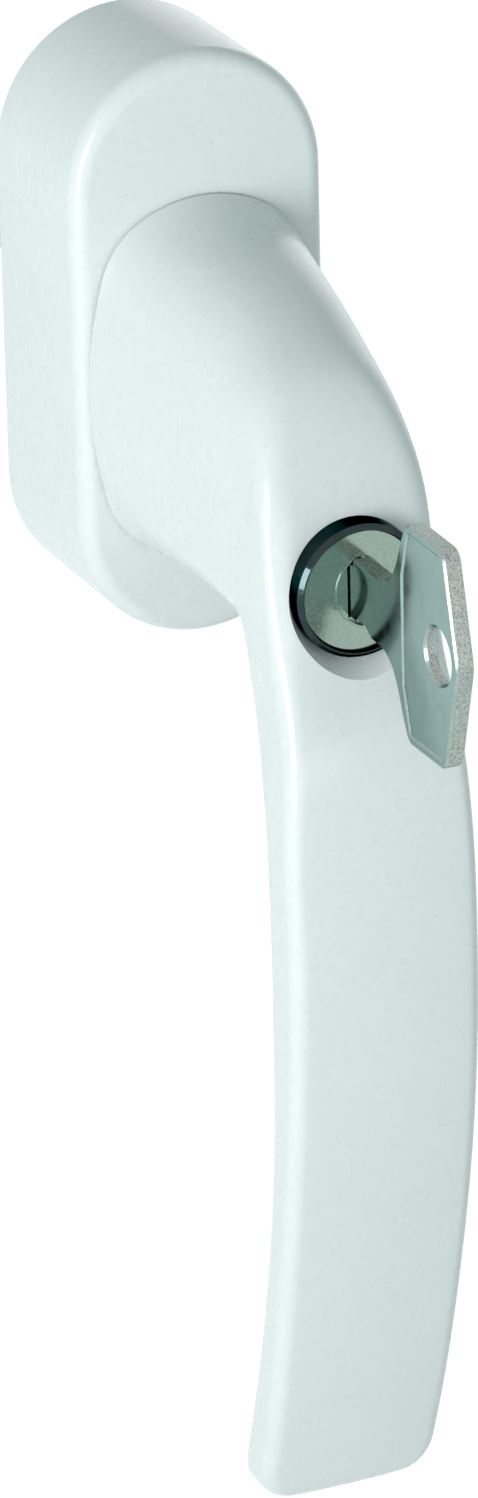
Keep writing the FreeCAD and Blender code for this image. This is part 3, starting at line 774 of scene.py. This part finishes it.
# The key's upper side from the neck to the bow's end, as (out from the lock's face, up, rounding).
key_upper_side = [
    (7.05, key_neck_half, 3.0),
    (8.95, 5.1, 3.0),
    (10.25, 7.1, 5.0),
    (key_bow_start, 10.1, 2.0),
    (key_bow_start + key_bow_chamfer, key_bow_half, 1.6),
    (key_bow_corner, key_bow_end_half, 1.8),
]


def rounded_corners(corners, steps=6):
    """An outline whose corners, given as (a, b, radius), are turned into arcs.

    A corner with no radius, or almost straight, stays a point.
    """
    points = []
    for index, (a, b, radius) in enumerate(corners):
        here = np.array([a, b])
        before = np.array(corners[index - 1][:2]) - here
        after = np.array(corners[(index + 1) % len(corners)][:2]) - here
        before /= np.linalg.norm(before)
        after /= np.linalg.norm(after)
        half = math.acos(max(-1.0, min(1.0, float(before @ after)))) / 2
        if radius == 0 or half > almost_straight:
            points.append((a, b))
            continue
        middle = (before + after) / np.linalg.norm(before + after)
        centre = here + middle * radius / math.sin(half)
        start = here + before * radius / math.tan(half)
        end = here + after * radius / math.tan(half)
        first = math.atan2(*(start - centre)[::-1])
        turn = (math.atan2(*(end - centre)[::-1]) - first + math.pi) % (2 * math.pi) - math.pi
        for step in range(steps + 1):
            angle = first + turn * step / steps
            points.append((centre[0] + radius * math.cos(angle), centre[1] + radius * math.sin(angle)))
    return points


def mirrored(upper):
    """The whole outline from its upper half, which runs from the first corner to the tip."""
    return upper + [(out, -up, radius) for out, up, radius in reversed(upper[:-1])]


def inset(outline, distance):
    """The outline moved inwards by one distance, with its corners kept square to their sides."""
    points = np.array(outline)
    before = points - np.roll(points, 1, axis=0)
    after = np.roll(points, -1, axis=0) - points
    before /= np.linalg.norm(before, axis=1)[:, None]
    after /= np.linalg.norm(after, axis=1)[:, None]
    inwards = np.stack([before[:, 1] + after[:, 1], -before[:, 0] - after[:, 0]], axis=1)
    stretch = 1 + np.sum(before * after, axis=1)
    return points + inwards * distance / stretch[:, None]


def flat_prism(name, outline, x_from, x_to):
    """A closed plate across the key, over an outline of (out from the lock's face, up)."""
    points = [at(x, lock_face_out + out, lock_up + up) for x in (x_from, x_to) for out, up in outline]
    return closed_mesh(name, points, rings_to_faces(2, len(outline)))


def field_cutter(side):
    """The space of the bow's sunken field on one face, with sloping sides."""
    half = key_thickness / 2
    outline = key_field_outline()
    rings = [(key_field_slope, half - key_field_depth), (0.0, half),
             (-key_field_slope, half + key_field_depth)]
    points = [at(side * x, lock_face_out + out, lock_up + up) for distance, x in rings
              for out, up in inset(outline, distance)]
    return closed_mesh("field_cutter", points, rings_to_faces(len(rings), len(outline)))


def make_bow():
    """The key's bow and neck, with fine chamfers round both faces."""
    corners = [(key_shoulder, key_neck_half, key_shoulder_round)]
    corners += mirrored(key_upper_side + [(key_bow_tip, 0.0, key_end_round)])
    corners += [(key_lower_neck, -key_neck_half, key_step_round),
                (key_lower_shoulder, -key_blade_half, key_step_round),
                (key_shoulder, -key_blade_half, key_shoulder_round)]
    outline = rounded_corners(corners)
    half = key_thickness / 2
    rings = [(inset(outline, key_chamfer), -half), (np.array(outline), key_chamfer - half),
             (np.array(outline), half - key_chamfer), (inset(outline, key_chamfer), half)]
    points = [at(x, lock_face_out + out, lock_up + up) for ring, x in rings for out, up in ring]
    return smooth_mesh("key_nickel", points, rings_to_faces(len(rings), len(outline)), "key",
                       "key_nickel", ("key",), sharp_degrees=20.0)


def blade_outline():
    """The blade with the lock's cuts along its top, from its tip into the neck."""
    tip_end = key_tip + key_tip_slope * key_blade_half
    upper = [(key_tip, 0.0), (tip_end, key_blade_half)]
    for index in reversed(range(len(key_cut_depths))):
        middle = wafer_first_middle - wafer_pitch * index
        depth = key_cut_depths[index]
        upper += [(middle - depth, key_blade_half), (middle, key_blade_half - depth),
                  (middle + depth, key_blade_half)]
    inside_neck = key_shoulder + past_surface
    return upper + [(inside_neck, key_blade_half), (inside_neck, -key_blade_half),
                    (tip_end, -key_blade_half)]


def key_field_outline():
    """The sunken field of the bow: a straight side near the neck, and a margin round the rest."""
    upper = [
        (key_field_left, key_field_left_half, key_field_left_round),
        (key_bow_start + key_bow_chamfer + key_field_diagonal_gap, key_bow_half - key_field_margin,
         key_field_diagonal_round),
        (key_bow_corner - key_field_corner_gap, key_bow_end_half - key_field_margin,
         key_field_corner_round),
        (key_bow_tip - key_field_margin, 0.0, key_field_end_round),
    ]
    return rounded_corners(mirrored(upper), steps=4)


def make_key():
    """The key: a blade with its cuts, and a bow with a sunken field on each face and a ring hole."""
    key = make_bow()
    half = key_thickness / 2
    add_mesh(key, flat_prism("blade", blade_outline(), -half, half))
    for side in (-1, 1):
        cut_away(key, field_cutter(side))
    above = half + past_surface
    face = half - key_field_depth
    wide = key_ring_hole_radius + key_ring_hole_edge
    wall = face - key_ring_hole_edge
    hole = [(0.0, -above), (wide, -above), (wide, -face), (key_ring_hole_radius, -wall),
            (key_ring_hole_radius, wall), (wide, face), (wide, above), (0.0, above)]
    cutter = turned_mesh("ring_hole_cutter", hole, steps=64, up=0.0)
    turn = Matrix.Rotation(math.pi / 2, 4, "Z")
    shift = Matrix.Translation(at(0, lock_face_out + key_ring_hole, lock_up))
    cutter.transform(shift @ turn)
    cut_away(key, cutter)
    groove_from = key_tip - past_surface
    groove_to = key_shoulder - key_groove_stop
    for side in (-1, 1):
        low = -side * key_groove_side - key_groove_half
        high = -side * key_groove_side + key_groove_half
        groove = [(groove_from, low), (groove_to, low), (groove_to, high), (groove_from, high)]
        floor = side * (half - key_groove_depth)
        cut_away(key, flat_prism("groove_cutter", groove, *sorted((floor, side * above))))


# Fixing behind the rose

screw_up = 21.5
screw_radius = 2.5
screw_tip_out = -18.5
screw_head_out = 16.5
screw_head_radius = 4.2
screw_head_height = 2.3
screw_slot_width = 1.2
thread_pitch = 0.8
thread_depth = 0.42
thread_rows = 6
screw_head_round = 0.6
screw_tip_length = 1.0
screw_tip_narrowing = 0.7


def make_screw(name, up):
    """A slotted M5 screw with its thread cut as one helix."""
    steps = 36
    turns_per_mm = 1 / thread_pitch
    length = screw_head_out - screw_tip_out
    rows = int(length / (thread_pitch / thread_rows))
    points = []
    for row in range(rows + 1):
        out = screw_tip_out + length * row / rows
        taper = min((out - screw_tip_out) / screw_tip_length, 1.0)
        for step in range(steps):
            share = step / steps
            phase = (out * turns_per_mm - share) % 1.0
            ridge = abs(2 * phase - 1)
            radius = screw_radius - thread_depth * (1 - ridge) - screw_tip_narrowing * (1 - taper)
            angle = 2 * math.pi * share
            points.append(at(radius * math.cos(angle), out, up + radius * math.sin(angle)))
    count = len(points) // steps
    head_top = screw_head_out + screw_head_height
    head = [(screw_head_radius, screw_head_out)]
    head += quarter_round(screw_head_radius, head_top - screw_head_round, -screw_head_round,
                          screw_head_round)
    for radius, out in head:
        points += [at(x, out, up + rise) for x, rise in circle(radius, steps)]
        count += 1
    screw = smooth_mesh(name, points, rings_to_faces(count, steps), "rose", "zinc_steel",
                        ("fixing_screws",), sharp_degrees=40.0)
    slot = rectangle(screw_head_radius + past_surface, screw_slot_width / 2)
    cut_away(screw, prism_mesh("slot_cutter", slot, head_top - screw_head_height / 2,
                               head_top + past_surface, up))


def make_spindle():
    """The square bar, with all its edges rounded."""
    points = [at(x, out, up) for out in (spindle_back_out, spindle_front_out)
              for x, up in rectangle(spindle_half, spindle_half)]
    bar = smooth_mesh("spindle_bar", points, rings_to_faces(2, 4), "handle", "zinc_steel",
                      ("square_spindle",))
    bevel(bar, spindle_corner, segments=3)


make_handle()
make_rose()
make_lock_ring()
make_plug_disc()
make_key()
make_screw("fixing_screw_upper", screw_up)
make_screw("fixing_screw_lower", -screw_up)
make_spindle()

slots = {part["node"]: part["material_slot"] for part in frame["record"]["subparts"]}
for name, node in frame["nodes"].items():
    node.data.materials.clear()
    node.data.materials.append(materials[slots[name]])


# Floor, light and background

floor_up = -0.150
floor_half = 3.0
floor_glow = 0.7
dark_side = (0.55, 0.0, 0.83)
light_room = (0.58, 0.70, 0.69)
dark_room = (0.18, 0.26, 0.255)
white = (1, 1, 1, 1)
lock_middle = (0, -0.03, -0.04)
grip_start_middle = (0, -0.03, -0.06)


def background_rays(nodes, links):
    """1 for the rays that show the background: the camera's, and those in reflections and glass."""
    rays = nodes.new("ShaderNodeLightPath").outputs
    through = combine(nodes, links, "MAXIMUM", rays["Is Glossy Ray"], rays["Is Transmission Ray"])
    return combine(nodes, links, "MAXIMUM", through, rays["Is Camera Ray"])


def pale_floor_material():
    """Pale matt floor, white to the camera and in reflections."""
    material, nodes, links, shader = new_material("pale_floor")
    drift = noise(nodes, links, 0.004, detail=2.0)
    links.new(ramp(nodes, links, drift, [(0.3, (0.86, 0.86, 0.86)), (0.7, (0.88, 0.88, 0.88))]),
              shader.inputs["Base Color"])
    shader.inputs["Roughness"].default_value = 0.9
    shader.inputs["Specular IOR Level"].default_value = 0.0
    glow = combine(nodes, links, "MULTIPLY", background_rays(nodes, links), floor_glow)
    shader.inputs["Emission Color"].default_value = white
    links.new(glow, shader.inputs["Emission Strength"])
    return material


def make_floor():
    """A wide flat floor below the handle, in metres."""
    mesh = bpy.data.meshes.new("floor")
    corners = [(x, y, floor_up) for x, y in rectangle(floor_half, floor_half)]
    mesh.from_pydata(corners, [], [(0, 1, 2, 3)])
    floor = bpy.data.objects.new("floor", mesh)
    bpy.context.scene.collection.objects.link(floor)
    mesh.materials.append(pale_floor_material())


def make_world():
    """A pale room: white where it is seen, and darker overhead and to the right for the object."""
    world = bpy.data.worlds.new("studio")
    bpy.context.scene.world = world
    world.use_nodes = True
    nodes = world.node_tree.nodes
    links = world.node_tree.links
    background = nodes["Background"]
    place = nodes.new("ShaderNodeTexCoord")
    slant = nodes.new("ShaderNodeVectorMath")
    slant.operation = "DOT_PRODUCT"
    slant.inputs[1].default_value = dark_side
    links.new(place.outputs["Generated"], slant.inputs[0])
    level = spread(nodes, links, slant.outputs["Value"], 0.0, 1.0, low_from=-0.6, high_from=0.9)
    shade = ramp(nodes, links, level, [(0.0, light_room), (1.0, dark_room)])
    mix = nodes.new("ShaderNodeMix")
    mix.data_type = "RGBA"
    links.new(background_rays(nodes, links), mix.inputs["Factor"])
    links.new(shade, mix.inputs[6])
    mix.inputs[7].default_value = white
    links.new(mix.outputs[2], background.inputs["Color"])
    background.inputs["Strength"].default_value = 1.0


def soft_lamp(name, place, target, size, watts):
    """A flat rectangular lamp that faces a target."""
    data = bpy.data.lights.new(name, "AREA")
    data.shape = "RECTANGLE"
    data.size = size[0]
    data.size_y = size[1]
    data.energy = watts
    lamp = bpy.data.objects.new(name, data)
    bpy.context.scene.collection.objects.link(lamp)
    lamp.location = place
    lamp.rotation_euler = (Vector(target) - Vector(place)).to_track_quat("-Z", "Y").to_euler()


def make_camera():
    """The photograph's camera, aimed so that the origin falls on its pixel at the measured scale."""
    towards = Vector((-math.sin(view_azimuth) * math.cos(view_elevation),
                      -math.cos(view_azimuth) * math.cos(view_elevation),
                      math.sin(view_elevation)))
    level_right = Vector((math.cos(view_azimuth), -math.sin(view_azimuth), 0.0))
    level_up = towards.cross(level_right)
    right = level_right * math.cos(view_roll) + level_up * math.sin(view_roll)
    up = level_up * math.cos(view_roll) - level_right * math.sin(view_roll)
    distance = focal_pixels / origin_pixels_per_mm * MM
    sideways = (origin_pixel[0] - photo_centre[0]) * distance / focal_pixels
    downward = (origin_pixel[1] - photo_centre[1]) * distance / focal_pixels
    place = towards * distance - right * sideways + up * downward
    data = bpy.data.cameras.new("camera")
    data.sensor_fit = "VERTICAL"
    data.sensor_height = sensor_mm
    data.lens = focal_pixels / photo_height * sensor_mm
    camera = bpy.data.objects.new("camera", data)
    bpy.context.scene.collection.objects.link(camera)
    camera.matrix_world = Matrix.Translation(place) @ Matrix((right, up, towards)).transposed().to_4x4()
    bpy.context.scene.camera = camera


make_floor()
make_world()
soft_lamp("left_panel", (-0.78, -0.62, 0.08), lock_middle, size=(0.30, 0.46), watts=5.4)
soft_lamp("back_panel", (0.80, 0.60, 0.15), lock_middle, size=(1.1, 0.56), watts=1.0)
soft_lamp("front_panel", (-0.05, -1.1, -0.02), grip_start_middle, size=(0.8, 0.25), watts=0.95)
make_camera()
bpy.context.scene.view_settings.view_transform = "Standard"
